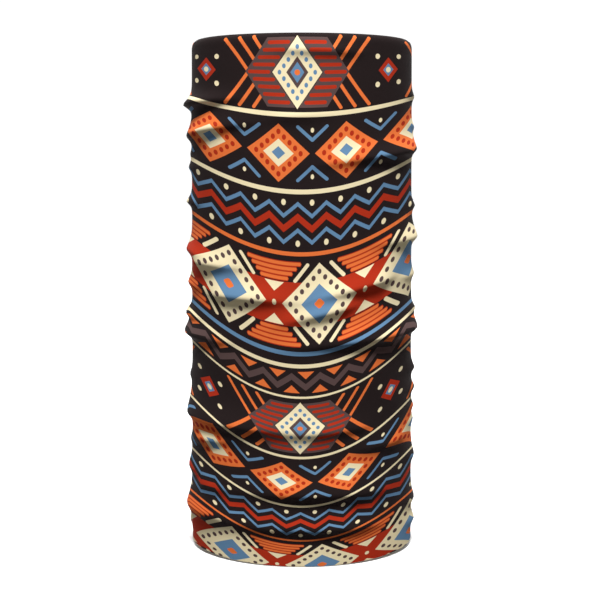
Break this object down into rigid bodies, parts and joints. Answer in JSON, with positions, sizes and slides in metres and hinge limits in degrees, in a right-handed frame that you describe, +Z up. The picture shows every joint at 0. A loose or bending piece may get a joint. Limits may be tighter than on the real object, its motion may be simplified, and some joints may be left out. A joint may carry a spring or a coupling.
{
  "type": "neck gaiter",
  "caption": "Soft oval tube of printed stretch knit, open at both ends, pulled over the head and ruched round the neck, closed by a flat sewn seam at the back.",
  "frame": {"origin": "middle of the lower rim's box, on the plane that the gaiter stands on", "axes": "+Z up through the tube, -Y the printed front, +Y the sewn back, X across"},
  "size_m": [0.192, 0.1394, 0.41],
  "materials": {
    "knit": "matte",
    "thread": "satin",
    "looper_thread": "satin",
    "label": "satin"
  },
  "bodies": {
    "root": {"printed_panel": "knit", "seam_needle_thread_left": "thread", "seam_needle_thread_right": "thread", "seam_cover_thread": "thread", "seam_looper_thread": "looper_thread", "seam_bartack_bottom": "thread", "seam_bartack_top": "thread", "care_label": "label", "label_stitch_thread": "looper_thread"}
  },
  "joints": []
}
